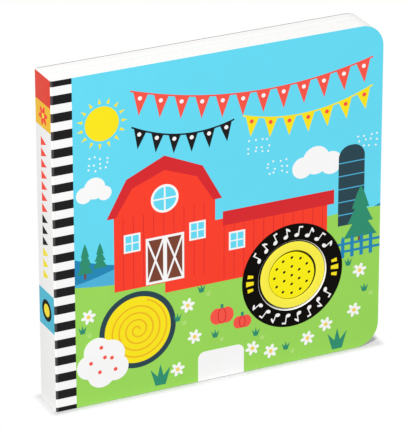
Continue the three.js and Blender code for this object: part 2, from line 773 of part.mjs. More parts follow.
// A screw along the Y axis, its head towards the back, with a cross recess.
function screw(headRear, tip) {
  const headFront = headRear - screwHeadThickness;
  const recess = headRear - 0.35;
  const arm = 1.1;
  const slot = 0.25;
  const body = turned([
    [0, tip],
    [screwShankRadius * 0.4, tip],
    [screwShankRadius, tip + screwShankRadius],
    [screwShankRadius, headFront],
    [screwHeadRadius, headFront],
    [screwHeadRadius, headRear - 0.2],
    [screwHeadRadius - 0.4, headRear],
    [0, headRear],
  ], 12);
  return body
    .subtract(slab(rectangle(-arm, -slot, arm, slot), recess, headRear + 1))
    .subtract(slab(rectangle(-slot, -arm, slot, arm), recess, headRear + 1));
}
screwPlaces.forEach(([x, z], i) => {
  const driven = screw(trayRear, plateRear + fitGap).translate([x, 0, z]);
  addPiece(soundModule, `housing_screw_${i + 1}`, driven, metal(paint.steel));
});

// Battery door, in the doorway of the back cover and held by one screw at its tab.
const doorScrewHole = tube(0, screwBore, doorFront - 1, doorRear + 1, 8)
  .add(tube(0, screwSeat, doorRear - screwSink, doorRear + 1, 12))
  .translate([doorScrewX, 0, cellsUp]);
const batteryDoor = slab(doorOutline(0), doorFront, doorRear).subtract(doorScrewHole);
const doorScrew = screw(doorRear, bayFloor + bayWall + fitGap).translate([doorScrewX, 0, cellsUp]);
addPiece(soundModule, "battery_door", batteryDoor, plastic(paint.white));
addPiece(soundModule, "door_screw", doorScrew, metal(paint.steel));

export default book;
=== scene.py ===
"""A children's sound book, standing closed on its bottom edge: its print, boards, leaves and sound button."""

import math

import bpy
import numpy as np
from mathutils import Matrix, Vector
from mathutils.geometry import delaunay_2d_cdt


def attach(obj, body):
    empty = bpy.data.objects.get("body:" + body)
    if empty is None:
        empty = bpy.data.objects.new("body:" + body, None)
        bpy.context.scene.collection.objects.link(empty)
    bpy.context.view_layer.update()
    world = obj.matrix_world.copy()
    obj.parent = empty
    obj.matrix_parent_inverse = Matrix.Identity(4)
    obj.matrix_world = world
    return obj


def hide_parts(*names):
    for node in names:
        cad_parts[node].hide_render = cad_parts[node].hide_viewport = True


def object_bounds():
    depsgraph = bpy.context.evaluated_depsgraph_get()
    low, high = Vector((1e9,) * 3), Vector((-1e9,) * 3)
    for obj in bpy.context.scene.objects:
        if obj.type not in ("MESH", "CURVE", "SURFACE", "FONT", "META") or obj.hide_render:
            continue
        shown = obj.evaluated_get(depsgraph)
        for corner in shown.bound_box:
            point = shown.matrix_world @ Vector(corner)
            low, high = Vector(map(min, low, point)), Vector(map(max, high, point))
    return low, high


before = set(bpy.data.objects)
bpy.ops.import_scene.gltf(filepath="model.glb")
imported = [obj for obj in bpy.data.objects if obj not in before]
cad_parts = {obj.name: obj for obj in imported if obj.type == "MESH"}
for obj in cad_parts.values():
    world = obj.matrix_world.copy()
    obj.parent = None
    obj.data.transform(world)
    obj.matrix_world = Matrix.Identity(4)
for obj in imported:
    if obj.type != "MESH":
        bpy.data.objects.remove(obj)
cad_low, cad_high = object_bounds()

# Camera: in front of the book, to its left and a little above it, far off behind a long lens. The shift
# sets the book a little right of and above the middle of the picture, as the photograph has it.
image_width, image_height = 419, 431
azimuth, elevation = math.radians(-25.848), math.radians(23.930)
camera_distance = 1.950
focal_pixels = 3718.7
middle_offset = (2.26, 5.31)
sensor = 36.0

back = Vector((
    math.sin(azimuth) * math.cos(elevation),
    -math.cos(azimuth) * math.cos(elevation),
    math.sin(elevation),
))
right = Vector((0, 0, 1)).cross(back).normalized()
up = back.cross(right)
target = Vector((0, 0, (cad_low.z + cad_high.z) / 2))
lens = bpy.data.cameras.new("camera")
lens.sensor_width = sensor
lens.lens = focal_pixels * sensor / max(image_width, image_height)
lens.shift_x = -middle_offset[0] / max(image_width, image_height)
lens.shift_y = -middle_offset[1] / max(image_width, image_height)
camera = bpy.data.objects.new("camera", lens)
camera_turn = Matrix((right, up, back)).transposed().to_4x4()
camera.matrix_world = Matrix.Translation(target + back * camera_distance) @ camera_turn
bpy.context.collection.objects.link(camera)
bpy.context.scene.camera = camera
bpy.context.scene.view_settings.view_transform = "Standard"

# Light: an even pale surround that reads as white to the camera and in gloss, with a soft key lamp at the
# upper left of the front, which throws the shadows to the lower right, and a low lamp that fills the back.
surround_level = 0.45
world = bpy.data.worlds.new("studio")
bpy.context.scene.world = world
world.use_nodes = True
sky_nodes, sky_links = world.node_tree.nodes, world.node_tree.links
surround = sky_nodes["Background"]
surround.inputs["Color"].default_value = (1, 1, 1, 1)
path = sky_nodes.new("ShaderNodeLightPath")
seen = sky_nodes.new("ShaderNodeMath")
seen.operation = "MAXIMUM"
seen_clear = sky_nodes.new("ShaderNodeMath")
seen_clear.operation = "MAXIMUM"
level = sky_nodes.new("ShaderNodeMapRange")
level.inputs["To Min"].default_value = surround_level
level.inputs["To Max"].default_value = 1.0
sky_links.new(path.outputs["Is Camera Ray"], seen.inputs[0])
sky_links.new(path.outputs["Is Glossy Ray"], seen.inputs[1])
sky_links.new(seen.outputs[0], seen_clear.inputs[0])
sky_links.new(path.outputs["Is Transmission Ray"], seen_clear.inputs[1])
sky_links.new(seen_clear.outputs[0], level.inputs["Value"])
sky_links.new(level.outputs["Result"], surround.inputs["Strength"])


def soft_lamp(name, place, size, power):
    """A square area lamp that faces the middle of the book."""
    data = bpy.data.lights.new(name, "AREA")
    data.size = size
    data.energy = power
    lamp = bpy.data.objects.new(name, data)
    lamp.location = place
    lamp.rotation_euler = (target - Vector(place)).to_track_quat("-Z", "Y").to_euler()
    bpy.context.collection.objects.link(lamp)


soft_lamp("key_lamp", place=(-1.7, -1.97, 2.27), size=0.55, power=98)
soft_lamp("back_lamp", place=(1.3, 2.3, 0.12), size=0.9, power=30)

# Floor: a grey matt sheet that takes the book's shadow, and thins out into the white surround a few
# millimetres away from the book's footprint. Its grey is painted shadow: a dark band round the footprint for
# the contact shadow.
floor_half, floor_drop = 0.9, 0.0002
painted_shadow_tone, floor_fade = 0.7, 0.005
floor_mesh = bpy.data.meshes.new("floor")
floor_corners = np.array([[-1, -1, 0], [1, -1, 0], [1, 1, 0], [-1, 1, 0]]) * floor_half
floor_mesh.from_pydata(floor_corners - (0, 0, floor_drop), [], [(0, 1, 2, 3)])
floor = bpy.data.objects.new("floor", floor_mesh)
bpy.context.collection.objects.link(floor)
floor_finish = bpy.data.materials.new("floor_painted_shadow")
floor_finish.use_nodes = True
floor_shader = floor_finish.node_tree.nodes["Principled BSDF"]
# The grey base colour near the book is painted contact shadow.
floor_shader.inputs["Base Color"].default_value = (painted_shadow_tone, painted_shadow_tone, painted_shadow_tone, 1)
floor_shader.inputs["Roughness"].default_value = 0.9
floor_shader.inputs["Specular IOR Level"].default_value = 0.0
floor_nodes, floor_links = floor_finish.node_tree.nodes, floor_finish.node_tree.links
floor_place = floor_nodes.new("ShaderNodeTexCoord")
either_side = floor_nodes.new("ShaderNodeVectorMath")
either_side.operation = "ABSOLUTE"
past_edge = floor_nodes.new("ShaderNodeVectorMath")
past_edge.operation = "SUBTRACT"
past_edge.inputs[1].default_value = (cad_high.x, cad_high.y, 0)
outside = floor_nodes.new("ShaderNodeVectorMath")
outside.operation = "MAXIMUM"
from_book = floor_nodes.new("ShaderNodeVectorMath")
from_book.operation = "LENGTH"
fade = floor_nodes.new("ShaderNodeMapRange")
fade.interpolation_type = "SMOOTHSTEP"
fade.inputs["From Min"].default_value = 0.0
fade.inputs["From Max"].default_value = floor_fade
clear = floor_nodes.new("ShaderNodeBsdfTransparent")
thin_out = floor_nodes.new("ShaderNodeMixShader")
floor_links.new(floor_place.outputs["Object"], either_side.inputs[0])
floor_links.new(either_side.outputs["Vector"], past_edge.inputs[0])
floor_links.new(past_edge.outputs["Vector"], outside.inputs[0])
floor_links.new(outside.outputs["Vector"], from_book.inputs[0])
floor_links.new(from_book.outputs["Value"], fade.inputs["Value"])
floor_links.new(fade.outputs["Result"], thin_out.inputs["Fac"])
floor_links.new(floor_shader.outputs["BSDF"], thin_out.inputs[1])
floor_links.new(clear.outputs["BSDF"], thin_out.inputs[2])
floor_links.new(thin_out.outputs["Shader"], floor_nodes["Material Output"].inputs["Surface"])
floor_mesh.materials.append(floor_finish)

# Front cover board: a thick white-cored board with the wrap laminated to its face. The die-cut hole and the
# round fore-edge corners are cut through board and print together, so their edges show the white core.
MM = 0.001
book_width, book_depth, book_height = (np.array(cad_high) - np.array(cad_low)) / MM
corner_radius = 13.0
hole_x, hole_z, hole_radius, hole_edge = 137.6, 51.0, 20.0, 0.35
cover_left, cover_inner = 1.23, 2.25
soft_edge = 0.07


def linear(code):
    """A colour written as in a paint program, as linear light: ((c + 0.055) / 1.055) ** 2.4."""
    rgb = np.array([int(code[i:i + 2], 16) for i in (0, 2, 4)]) / 255
    return (*((rgb + 0.055) / 1.055) ** 2.4, 1.0)


def arc(x, z, radius, start, end, count):
    """Points on a circle from one angle to another, in degrees: middle plus radius times cosine and sine."""
    turn = np.radians(np.linspace(start, end, count))
    return np.stack([x + radius * np.cos(turn), z + radius * np.sin(turn)], 1)


def ring(x, z, radius, count=96, hole=False):
    """A closed circle, anticlockwise, or clockwise round a hole."""
    points = arc(x, z, radius, 0, 360, count + 1)[:-1]
    return points[::-1] if hole else points


def leaf_outline(left):
    """A leaf from the front: square at the spine, with two quarter circles at the fore-edge."""
    edge = book_width - corner_radius
    low = arc(edge, corner_radius, corner_radius, -90, 0, 25)
    high = arc(edge, book_height - corner_radius, corner_radius, 0, 90, 25)
    return np.vstack([[[left, 0]], low, high, [[left, book_height]]])


def inset(loop, distance):
    """Moves an outline inwards: each corner by the distance times the sum of its two edge normals over one
    plus their dot product."""
    before = loop - np.roll(loop, 1, axis=0)
    after = np.roll(loop, -1, axis=0) - loop
    normals = [
        np.stack([e[:, 1], -e[:, 0]], 1) / np.linalg.norm(e, axis=1)[:, None] for e in (before, after)
    ]
    share = 1 + (normals[0] * normals[1]).sum(1)
    return loop - distance * (normals[0] + normals[1]) / share[:, None]


def filled(loops):
    """Triangles inside closed outlines: those whose middles the outlines wind round. Each winding is the sum
    of edges that cross upwards right of the middle, less those that cross downwards, so a clockwise hole
    takes one off. Gives points, triangles, and for each point the outline points that it stands for."""
    points = [Vector(p) for loop in loops for p in loop]
    edges, start = [], 0
    for loop in loops:
        index = np.arange(len(loop)) + start
        edges.extend(zip(index.tolist(), np.roll(index, -1).tolist()))
        start += len(loop)
    found = delaunay_2d_cdt(points, edges, [], 0, 1e-5)
    places = np.array([tuple(p) for p in found[0]])
    triangles = np.array([tuple(f) for f in found[2]])
    middle = places[triangles].mean(1)
    winding = np.zeros(len(middle), int)
    for loop in loops:
        start, end = np.asarray(loop), np.roll(loop, -1, axis=0)
        above = end[None, :, 1] > middle[:, 1, None]
        crosses = above != (start[None, :, 1] > middle[:, 1, None])
        rise = np.where(end[:, 1] == start[:, 1], 1, end[:, 1] - start[:, 1])
        share = (middle[:, 1, None] - start[None, :, 1]) / rise
        beyond = start[None, :, 0] + share * (end - start)[None, :, 0] > middle[:, 0, None]
        winding += np.where(crosses & beyond, np.where(above, 1, -1), 0).sum(1)
    return places, triangles[winding > 0], found[3]


def add_mesh(name, points, faces, materials, index=None, flat=None):
    """A mesh object from points in millimetres from the book's lowest corner: right, depth and height. With
    flat given, the other faces are smooth. Sharp edges are marked first, because that resets every face."""
    mesh = bpy.data.meshes.new(name)
    mesh.from_pydata(np.asarray(points) * MM + np.array(cad_low), [], faces)
    for material in materials:
        mesh.materials.append(material)
    if index is not None:
        mesh.polygons.foreach_set("material_index", np.asarray(index, np.int32))
    if flat is not None:
        mesh.set_sharp_from_angle(angle=math.radians(40))
        mesh.polygons.foreach_set("use_smooth", ~np.asarray(flat, bool))
    obj = bpy.data.objects.new(name, mesh)
    bpy.context.collection.objects.link(obj)
    return obj


def board(name, loops, front, rear, edges, materials):
    """A flat board: each outline carried from front to rear, with a quarter circle of its own edge radius at
    both rims. Material 0 is the front face, 1 the rim and 2 the rear face."""
    turn = np.radians([0, 30, 60, 90])
    points, faces, kinds = [], [], []
    total = 0
    for loop, edge in zip(loops, edges):
        size = len(loop)
        inward = edge * (1 - np.sin(turn))
        across = edge * (1 - np.cos(turn))
        steps = [*zip(inward, front + across), *zip(inward[::-1], rear - across[::-1])]
        for inward_by, depth in steps:
            moved = inset(loop, inward_by)
            points.append(np.stack([moved[:, 0], np.full(size, depth), moved[:, 1]], 1))
        along = np.arange(size)
        following = np.roll(along, -1)
        for k in range(len(steps) - 1):
            here, there = total + k * size, total + (k + 1) * size
            quads = np.stack([here + along, there + along, there + following, here + following], 1)
            faces.extend(quads.tolist())
            kinds.extend([1] * size)
        total += size * len(steps)
    sizes = np.array([len(loop) for loop in loops])
    starts = np.cumsum([0, *sizes * len(steps)])
    caps = [inset(loop, edge) for loop, edge in zip(loops, edges)]
    _, triangles, origin = filled(caps)
    first = np.array([o[0] for o in origin])
    owner = np.repeat(np.arange(len(loops)), sizes)
    within = np.concatenate([np.arange(size) for size in sizes])
    front_index = starts[owner] + within
    rear_index = front_index + (len(steps) - 1) * sizes[owner]
    cap = first[triangles]
    faces.extend(front_index[cap].tolist())
    faces.extend(rear_index[cap][:, ::-1].tolist())
    kinds.extend([0] * len(cap) + [2] * len(cap))
    flat = np.array(kinds) != 1
    return add_mesh(name, np.vstack(points), faces, materials, kinds, flat)


def finish(name, color, roughness, gloss, tone=0.03, tone_scale=60.0, bump=0.04, bump_scale=900.0):
    """A plain finish: one colour with a little cloudy tone, and a fine uneven surface."""
    material = bpy.data.materials.new(name)
    material.use_nodes = True
    nodes, links = material.node_tree.nodes, material.node_tree.links
    shader = nodes["Principled BSDF"]
    shader.inputs["Roughness"].default_value = roughness
    shader.inputs["Specular IOR Level"].default_value = gloss
    place = nodes.new("ShaderNodeTexCoord")
    cloud = nodes.new("ShaderNodeTexNoise")
    cloud.inputs["Scale"].default_value = tone_scale
    cloud.inputs["Detail"].default_value = 3.0
    ramp = nodes.new("ShaderNodeMix")
    ramp.data_type = "RGBA"
    base = np.array(linear(color))
    ramp.inputs["A"].default_value = (*(base[:3] * (1 - tone)), 1)
    ramp.inputs["B"].default_value = (*np.minimum(base[:3] * (1 + tone), 1), 1)
    grain = nodes.new("ShaderNodeTexNoise")
    grain.inputs["Scale"].default_value = bump_scale
    relief = nodes.new("ShaderNodeBump")
    relief.inputs["Strength"].default_value = bump
    relief.inputs["Distance"].default_value = 0.0002
    links.new(place.outputs["Object"], cloud.inputs["Vector"])
    links.new(place.outputs["Object"], grain.inputs["Vector"])
    links.new(cloud.outputs["Fac"], ramp.inputs["Factor"])
    links.new(ramp.outputs["Result"], shader.inputs["Base Color"])
    links.new(grain.outputs["Fac"], relief.inputs["Height"])
    links.new(relief.outputs["Normal"], shader.inputs["Normal"])
    return material


def laminate(name, color):
    """Printed paper under a satin film."""
    return finish(name, color, roughness=0.42, gloss=0.12)


def cut_board(name, color):
    """The cut edge of board: fine layers along the sheet, with paler and darker fibres."""
    material = finish(name, color, 0.85, 0.1, tone=0.015, tone_scale=40.0, bump=0.12, bump_scale=1500.0)
    nodes, links = material.node_tree.nodes, material.node_tree.links
    grain = next(n for n in nodes if n.type == "TEX_NOISE" and n.inputs["Scale"].default_value > 1000)
    stretch = nodes.new("ShaderNodeMapping")
    stretch.inputs["Scale"].default_value = (0.08, 1.6, 0.08)
    links.new(next(n for n in nodes if n.type == "TEX_COORD").outputs["Object"], stretch.inputs["Vector"])
    links.new(stretch.outputs["Vector"], grain.inputs["Vector"])
    return material


sky_print = laminate("sky_print", "67DDF6")
board_edge = cut_board("board_edge", "FAF9F7")
inner_print = laminate("inner_cover_print", "FFE873")
hole = ring(hole_x, hole_z, hole_radius, hole=True)
cover = board(
    "front_cover", [leaf_outline(cover_left), hole], 0, cover_inner, (soft_edge, hole_edge),
    [sky_print, board_edge, inner_print],
)
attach(cover, "front_cover")
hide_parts("front_cover_board", "print_sky")

# Cover print: flat fields of ink on the wrap's face. Each is a skin that stands a few hundredths of a
# millimetre proud of the one under it, and its own layer, so that no two fields share a surface.
ink_step, ink_sunk = 0.02, 0.05


def anticlockwise(loop):
    """Turns an outline round where its signed area, half the sum of x times the change of z, is below 0."""
    loop = np.asarray(loop, float)
    following = np.roll(loop, -1, axis=0)
    area = (loop[:, 0] * following[:, 1] - following[:, 0] * loop[:, 1]).sum()
    return loop if area > 0 else loop[::-1]


def flat_fill(loops, holes):
    """The points and triangles of outlines joined into one, less their holes, without points left over."""
    places, triangles, _ = filled([*(anticlockwise(loop) for loop in loops), *holes])
    used, renumbered = np.unique(triangles, return_inverse=True)
    return places[used], renumbered.reshape(-1, 3)


def plate_faces(triangles, count):
    """Faces of a thin plate of so many near points, with the far ones after them: the near triangles, the
    far ones turned round, and a wall along each edge that no other triangle runs along the other way."""
    edges = np.vstack([triangles[:, [0, 1]], triangles[:, [1, 2]], triangles[:, [2, 0]]]).tolist()
    known = {tuple(e) for e in edges}
    outer = np.array([e for e in edges if (e[1], e[0]) not in known])
    walls = np.stack([outer[:, 0], outer[:, 0] + count, outer[:, 1] + count, outer[:, 1]], 1)
    return [*triangles.tolist(), *(triangles[:, ::-1] + count).tolist(), *walls.tolist()]


def ink(name, loops, layer, material, holes=(), node=None, side="front"):
    """Flat ink: the outlines filled, and carried back into the board from a height of so many ink steps."""
    flat_points, triangles = flat_fill(loops, holes)
    depths = (-layer * ink_step, ink_sunk)
    if side == "back":
        triangles = triangles[:, ::-1]
        depths = [book_depth - depth for depth in depths]
    points = np.vstack([np.insert(flat_points, 1, depth, axis=1) for depth in depths])
    piece = add_mesh(name, points, plate_faces(triangles, len(flat_points)), [material])
    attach(piece, "front_cover" if side == "front" else "back_cover")
    if node:
        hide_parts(node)



# Band beside the spine: white with black stripes, printed with the rest of the wrap and carried to the fold.
# Half a stripe lies at the bottom edge.
band_width = 11.6
stripe_pitch, black_share = 9.75, 0.51
white_ink = laminate("white_ink", "FDFDFC")
black_ink = laminate("black_ink", "131113")
margin, band_top = soft_edge, book_height - soft_edge


def rectangle(left, bottom, right_edge, top):
    """An upright rectangle, anticlockwise from its lower left corner."""
    return np.array([[left, bottom], [right_edge, bottom], [right_edge, top], [left, top]], float)


stripe_half = stripe_pitch * black_share / 2
stripe_middles = np.arange(0, book_height + stripe_half, stripe_pitch)
stripes = [
    rectangle(cover_left, max(z - stripe_half, margin), band_width, min(z + stripe_half, band_top))
    for z in stripe_middles
]
band = rectangle(cover_left, margin, band_width, band_top)
ink("print_band", [band], 1, white_ink, node="print_stripes_white")
ink("print_stripes", stripes, 2, black_ink, node="print_stripes_black")


# Ground: two ranges of hills and the meadow, in flat ink on the laminated wrap. They are printed one over
# another, and cut away together with the board where the hole is.
def ground(height, swell, waves, phase, bottom=margin):
    """Rolling ground under one sine wave, cut to the cover's round lower corner."""
    x = np.linspace(band_width, book_width - margin, 90)
    crest = height + swell * np.sin(phase + waves * 2 * np.pi * x / book_width)
    edge = book_width - corner_radius
    low_corner = arc(edge, corner_radius, corner_radius - margin, -90, 0, 25)
    low_corner[:, 1] = np.maximum(low_corner[:, 1], bottom)
    return np.vstack([[[band_width, bottom]], low_corner, np.stack([x, crest], 1)[::-1]])


blue_ink = laminate("blue_ink", "2488B8")
pale_blue_ink = laminate("pale_blue_ink", "4FB4DC")
green_ink = laminate("green_ink", "9CDA5B")
opening = ring(hole_x, hole_z, hole_radius + hole_edge, 128, hole=True)
far_hills = ground(height=84, swell=7, waves=1.6, phase=2.4)
near_hills = ground(height=77, swell=7, waves=1.3, phase=4.6)
meadow = ground(height=74, swell=8, waves=0.75, phase=3.5)
ink("print_far_hills", [far_hills], 1, blue_ink, [opening], "print_far_hills")
ink("print_near_hills", [near_hills], 2, pale_blue_ink, [opening])
ink("print_meadow", [meadow], 3, green_ink, [opening], "print_meadow")

# Sky: a sun with short rays, two clouds and loose groups of white specks. They are flat ink on the
# laminated wrap, printed over its pale blue ground.
sun_x, sun_z, sun_radius = 28, 158, 9.5
ray_gap, ray_length, ray_half = 1.6, 3.2, 0.9
yellow_ink = laminate("yellow_ink", "FFE81C")
ink("print_sun", [ring(sun_x, sun_z, sun_radius, 64)], 1, yellow_ink, node="print_sun")
rays = []
for turn in np.arange(0, 360, 24):
    direction = np.array([math.cos(math.radians(turn)), math.sin(math.radians(turn))])
    side_step = np.array([-direction[1], direction[0]]) * ray_half
    start = np.array([sun_x, sun_z]) + direction * (sun_radius + ray_gap)
    rays.append(np.array([start - side_step, start + direction * ray_length, start + side_step]))
ink("print_sun_rays", [r for r in rays if r[:, 0].min() > band_width + 0.5], 1, yellow_ink)


def puffs(places):
    """Circles that overlap into one rounded form, each given as its middle and radius."""
    return [ring(x, z, radius, 48) for x, z, radius in places]


right_cloud = puffs([(143, 112, 6), (151, 115, 8), (160, 112, 6.5)])
left_cloud = puffs([(17.5, 120, 4.5), (23.5, 123, 6), (29, 119.5, 4)])
ink("print_cloud_right", right_cloud, 1, white_ink, node="print_cloud_right")
ink("print_cloud_left", left_cloud, 1, white_ink, node="print_cloud_left")
rng = np.random.default_rng(7)
speck_radius, speck_stray, speck_pitch = 0.55, 0.9, (3.6, 3.2)
specks = []
for middle_x, middle_z in ((20, 133), (112, 126), (176, 118), (123, 112)):
    spots = np.array([[i % 4, i // 4] for i in range(12)]) * speck_pitch + (middle_x, middle_z)
    spots += rng.uniform(-speck_stray, speck_stray, spots.shape)
    specks.extend(ring(x, z, speck_radius, 12) for x, z in spots if x > band_width + 1.5)
ink("print_specks", specks, 1, white_ink)

# Bunting: three cords of pointed flags that sag across the sky, each flag with a dot. They are flat ink on
# the laminated wrap, with the dots printed over the flags.
cord_width, flag_from, flag_to = 0.9, 0.14, 0.86
dot_radius, dot_up = 1.15, 1.1
coral_ink = laminate("coral_ink", "FA5749")


def strip(points, width):
    """A line of even width: the points moved half a width to each side along the normal."""
    points = np.asarray(points, float)
    run = np.gradient(points, axis=0)
    normal = np.stack([-run[:, 1], run[:, 0]], 1) / np.linalg.norm(run, axis=1)[:, None]
    return np.vstack([points - normal * width / 2, (points + normal * width / 2)[::-1]])


def bunting(start, end, sag, count, length):
    """A cord that sags by a parabola, 4 times sag times t times 1 - t, and flags hung from it: each a
    triangle from two points of the cord to a tip."""
    def along(t):
        t = np.asarray(t, float)
        x = start[0] + (end[0] - start[0]) * t
        return np.stack([x, start[1] + (end[1] - start[1]) * t - sag * 4 * t * (1 - t)], -1)

    flags = []
    for i in range(count):
        a, b = along((i + flag_from) / count), along((i + flag_to) / count)
        tip = (a + b) / 2 + ((b - a)[1] / 2, -length)
        flags.append(np.array([a, tip, b]))
    return strip(along(np.linspace(0, 1, 49)), cord_width), flags


for color_name, material, spec in (
    ("coral", coral_ink, ((44, 173), (184, 168), 10, 12, 12.5)),
    ("yellow", yellow_ink, ((108, 148), (184, 152), 7, 7, 11)),
    ("black", black_ink, ((44.5, 153), (103, 147), 6, 6, 10.5)),
):
    cord, flags = bunting(*spec)
    ink(f"print_bunting_{color_name}", [cord, *flags], 1, material, node=f"print_bunting_{color_name}")
    trim = white_ink if color_name != "yellow" else coral_ink
    dots = [ring(*(f.mean(0) + (0, dot_up)), dot_radius, 24) for f in flags]
    ink(f"print_bunting_{color_name}_dots", dots, 2, trim)

# Barn: a gambrel hall with a low wing, a double door, a loft window and boards. All of it is flat ink on
# the laminated wrap, with the walls printed first and the trim over them.
barn_left, barn_right, barn_foot, barn_eave, barn_ridge = 34, 92, 62, 104, 130
barn_middle = (barn_left + barn_right) / 2
wing_right, wing_eave, wing_drop = 158, 92, 6
roof_out, roof_in, roof_half = 4, 1, 4
red_ink = laminate("red_ink", "FF402B")
dark_red_ink = laminate("dark_red_ink", "D9292F")
brown_ink = laminate("brown_ink", "7A4230")


def gable(left, right_edge, ridge):
    """The gambrel's five points from right to left: eave, knee, ridge, knee and eave."""
    knee = (right_edge - left) * 0.17
    knee_up = (ridge - barn_eave) * 0.68
    return [
        [right_edge, barn_eave],
        [right_edge - knee, barn_eave + knee_up],
        [barn_middle, ridge],
        [left + knee, barn_eave + knee_up],
        [left, barn_eave],
    ]


hall_foot = [[barn_left, barn_foot], [barn_right, barn_foot]]
hall = np.array([*hall_foot, *gable(barn_left, barn_right, barn_ridge)], float)
wing = rectangle(barn_middle, barn_foot - wing_drop, wing_right, wing_eave)
roof_top = gable(barn_left - roof_out, barn_right + roof_out, barn_ridge + roof_half)
roof_under = gable(barn_left + roof_in, barn_right - roof_in, barn_ridge - roof_half)
roof = np.array(roof_top + roof_under[::-1], float)
wing_roof = rectangle(
    barn_right + roof_out + 0.5, wing_eave - roof_half, wing_right + roof_out, wing_eave + roof_half
)
ink("print_barn_walls", [hall, wing], 4, red_ink, [opening], "print_barn_walls")
ink("print_barn_roof", [roof], 5, dark_red_ink, node="print_barn_roof")
ink("print_wing_roof", [wing_roof], 5, dark_red_ink, node="print_wing_roof")
plank_pitch, plank_line = 5.8, 0.35
planks = [
    rectangle(x, foot, x + plank_line, head)
    for first_x, last_x, foot, head in (
        (barn_left + 5, barn_right - 2, barn_foot + 0.6, barn_eave - 0.5),
        (barn_right + 5, wing_right - 2, barn_foot - 5, wing_eave - 4.2),
    )
    for x in np.arange(first_x, last_x, plank_pitch)
]
ink("print_barn_boards", planks, 5, dark_red_ink, [opening])
door_half, door_foot, door_top = 11, barn_foot + 0.5, 89
door = rectangle(barn_middle - door_half, door_foot, barn_middle + door_half, door_top)
ink("print_barn_door", [door], 6, brown_ink, node="print_barn_door")
loft_z, loft_radius, loft_out, loft_in, loft_bar = barn_eave + 6, 7, 0.9, 0.4, 0.45
ink("print_loft_window", [ring(barn_middle, loft_z, loft_radius, 64)], 6, sky_print, node="print_loft_window")
stile, rail = 1.1, 1.4
braces = []
for leaf_left in (barn_middle - door_half, barn_middle):
    leaf_right = leaf_left + door_half
    brace_left, brace_right = leaf_left + 0.6, leaf_right - 0.6
    brace_low, brace_high = door_foot + 0.6, door_top - 0.7
    braces += [
        rectangle(leaf_left, door_foot, leaf_left + stile, door_top),
        rectangle(leaf_right - stile, door_foot, leaf_right, door_top),
        rectangle(leaf_left, door_top - rail, leaf_right, door_top),
        rectangle(leaf_left, door_foot, leaf_right, door_foot + rail),
        strip([[brace_left, brace_low], [brace_right, brace_high]], stile),
        strip([[brace_left, brace_high], [brace_right, brace_low]], stile),
    ]
ink("print_door_braces", braces, 7, white_ink)
loft_inner = ring(barn_middle, loft_z, loft_radius - loft_in, 64, hole=True)
loft_bars = [
    rectangle(barn_middle - wide, loft_z - tall, barn_middle + wide, loft_z + tall)
    for wide, tall in ((loft_bar, loft_radius), (loft_radius, loft_bar))
]
ink("print_loft_frame", [ring(barn_middle, loft_z, loft_radius + loft_out, 64)], 7, white_ink, [loft_inner])
ink("print_loft_bars", loft_bars, 8, white_ink)
window_places = [(101, 74), (barn_left + 6.5, 84), (barn_right - 14, 84)]
pane_wide, pane_tall, frame_line, bar_line = 7.5, 8.5, 1, 0.7
bar_x, bar_z = (pane_wide - bar_line) / 2, (pane_tall - bar_line) / 2
panes, frames, bars = [], [], []
for x, z in window_places:
    far_x, far_z = x + pane_wide, z + pane_tall
    panes.append(rectangle(x, z, far_x, far_z))
    frames.append(rectangle(x - frame_line, z - frame_line, far_x + frame_line, far_z + frame_line))
    bars.append(rectangle(x + bar_x, z, x + bar_x + bar_line, far_z))
    bars.append(rectangle(x, z + bar_z, far_x, z + bar_z + bar_line))
ink("print_window_frames", frames, 6, white_ink)
ink("print_window_panes", panes, 7, sky_print)
ink("print_window_bars", bars, 8, white_ink)

# Silo, trees and fence: flat ink on the laminated wrap. The tall pine is printed over the silo, and the blue
# fence over both.
silo_left, silo_right, silo_foot, silo_top, silo_radius = 164.5, 180, 74, 120, 7
hoop_pitch, hoop_line = 7.5, 0.6
slate_ink = laminate("slate_ink", "28434D")
pine_ink = laminate("pine_ink", "2F8F6F")


def domed(left, foot, right_edge, top, radius, count):
    """A rectangle whose two upper corners are quarter circles."""
    return np.vstack([
        [[left, foot], [right_edge, foot]],
        arc(right_edge - radius, top - radius, radius, 0, 90, count),
        arc(left + radius, top - radius, radius, 90, 180, count),
    ])


silo = domed(silo_left, silo_foot, silo_right, silo_top, silo_radius, 16)
hoops = [
    rectangle(silo_left, z, silo_right, z + hoop_line)
    for z in np.arange(silo_foot + 6, silo_top - 8, hoop_pitch)
]
ink("print_silo", [silo], 4, slate_ink, node="print_silo")
ink("print_silo_hoops", hoops, 5, pale_blue_ink)


def pine(x, z, width, height):
    """Three skirts, each narrower than the one below it."""
    steps = np.arange(3)
    half = width / 2 * (1 - 0.24 * steps)
    outer = np.stack([half, height * steps / 3.6], 1)
    inner = np.stack([half * 0.45, height * (steps + 1) / 3.6], 1)
    right_side = np.stack([outer, inner], 1).reshape(-1, 2)
    left_side = right_side[::-1] * (-1, 1)
    return np.vstack([right_side, [[0, height]], left_side]) + (x, z)


ink("print_pine", [pine(178, 66, 20, 30)], 6, pine_ink, node="print_pine")
ink("print_small_pines", [pine(17.5, 76, 9, 17), pine(26, 78, 8, 14)], 5, pine_ink)
ink("print_trunks", [rectangle(176.7, 62.5, 179.3, 67), rectangle(16.9, 73, 18.1, 77)], 4, brown_ink)
post = np.array([[0, 55], [2, 55], [2, 66], [1, 67.6], [0, 66]])
post_pitch, rail_line = 5.6, 1.4
fence = [post + (x, 0) for x in np.arange(161, 188, post_pitch)]
fence += [rectangle(159.5, z, book_width - margin, z + rail_line) for z in (58, 62.4)]
ink("print_fence", fence, 7, blue_ink)

# Bale, bush and pumpkins: a hay bale with a wound end, a white bush with blossoms, and pumpkins on the grass.
# They are flat ink on the laminated wrap, with the bush printed over the bale.
bale_x, bale_z, bale_radius, bale_line = 47, 38, 19, 3
coil_turns, coil_start, coil_pitch, coil_line = 4.2, 1, 3.9, 0.9
amber_ink = laminate("amber_ink", "F2BC23")


